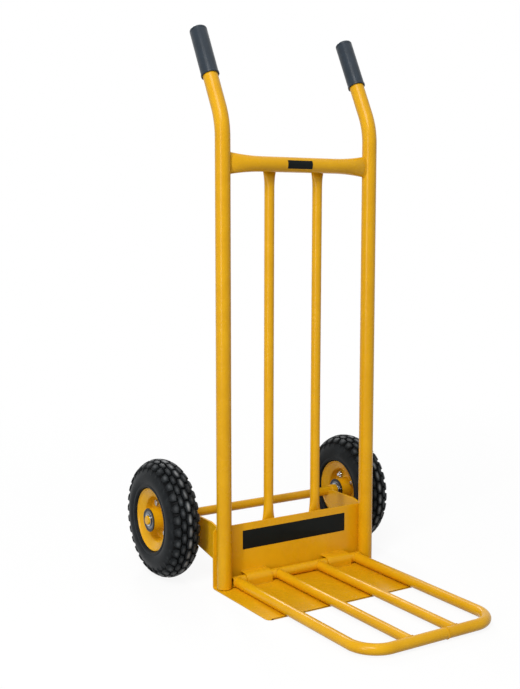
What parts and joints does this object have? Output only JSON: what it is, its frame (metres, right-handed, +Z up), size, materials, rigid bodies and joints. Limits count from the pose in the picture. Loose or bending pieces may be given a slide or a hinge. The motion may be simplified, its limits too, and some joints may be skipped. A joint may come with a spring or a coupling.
{
  "type": "hand truck",
  "caption": "Upright hand truck of painted steel tube with leaning handles, a fixed toe plate, a fold-down toe frame and solid block-tread wheels on a through axle.",
  "frame": {"origin": "on the underside of the toe plate, midway between the axes of the two uprights", "axes": "+Z up, -Y towards the load side, +X across to the right as seen from the load side"},
  "size_m": [0.585, 0.7545, 1.1809],
  "materials": {
    "yellow_paint": "glossy powder coat",
    "grip_plastic": "satin moulded",
    "tyre_rubber": "matt moulded",
    "zinc_steel": "bright zinc plated",
    "bearing_steel": "ground"
  },
  "bodies": {
    "frame": {"left_upright": "yellow_paint", "right_upright": "yellow_paint", "left_grip": "grip_plastic", "right_grip": "grip_plastic", "top_crossbar": "yellow_paint", "left_slat": "yellow_paint", "right_slat": "yellow_paint", "toe_plate": "yellow_paint", "left_axle_bracket": "yellow_paint", "right_axle_bracket": "yellow_paint", "axle": "yellow_paint", "left_axle_collar": "yellow_paint", "right_axle_collar": "yellow_paint", "left_axle_washer": "zinc_steel", "right_axle_washer": "zinc_steel", "left_retaining_ring": "zinc_steel", "right_retaining_ring": "zinc_steel", "left_hinge_strap": "yellow_paint", "right_hinge_strap": "yellow_paint"},
    "left_wheel": {"left_tyre": "tyre_rubber", "left_outer_rim": "yellow_paint", "left_inner_rim": "yellow_paint", "left_rim_bolts": "zinc_steel", "left_rim_nuts": "zinc_steel", "left_outer_bearing": "bearing_steel", "left_inner_bearing": "bearing_steel", "left_hub_sleeve": "zinc_steel"},
    "right_wheel": {"right_tyre": "tyre_rubber", "right_outer_rim": "yellow_paint", "right_inner_rim": "yellow_paint", "right_rim_bolts": "zinc_steel", "right_rim_nuts": "zinc_steel", "right_outer_bearing": "bearing_steel", "right_inner_bearing": "bearing_steel", "right_hub_sleeve": "zinc_steel"},
    "folding_toe": {"toe_frame": "yellow_paint", "toe_hinge_tube": "yellow_paint", "left_toe_bar": "yellow_paint", "right_toe_bar": "yellow_paint"}
  },
  "joints": [
    {"name": "left_wheel_spin", "type": "hinge", "parent": "frame", "child": "left_wheel", "pos_m": [-0.252, 0.156, 0.13], "axis": [1, 0, 0], "continuous": true},
    {"name": "right_wheel_spin", "type": "hinge", "parent": "frame", "child": "right_wheel", "pos_m": [0.252, 0.156, 0.13], "axis": [1, 0, 0], "continuous": true},
    {"name": "toe_fold", "type": "hinge", "parent": "frame", "child": "folding_toe", "pos_m": [0, -0.0015, 0.0143], "axis": [-1, 0, 0], "range_deg": [0, 90]}
  ]
}
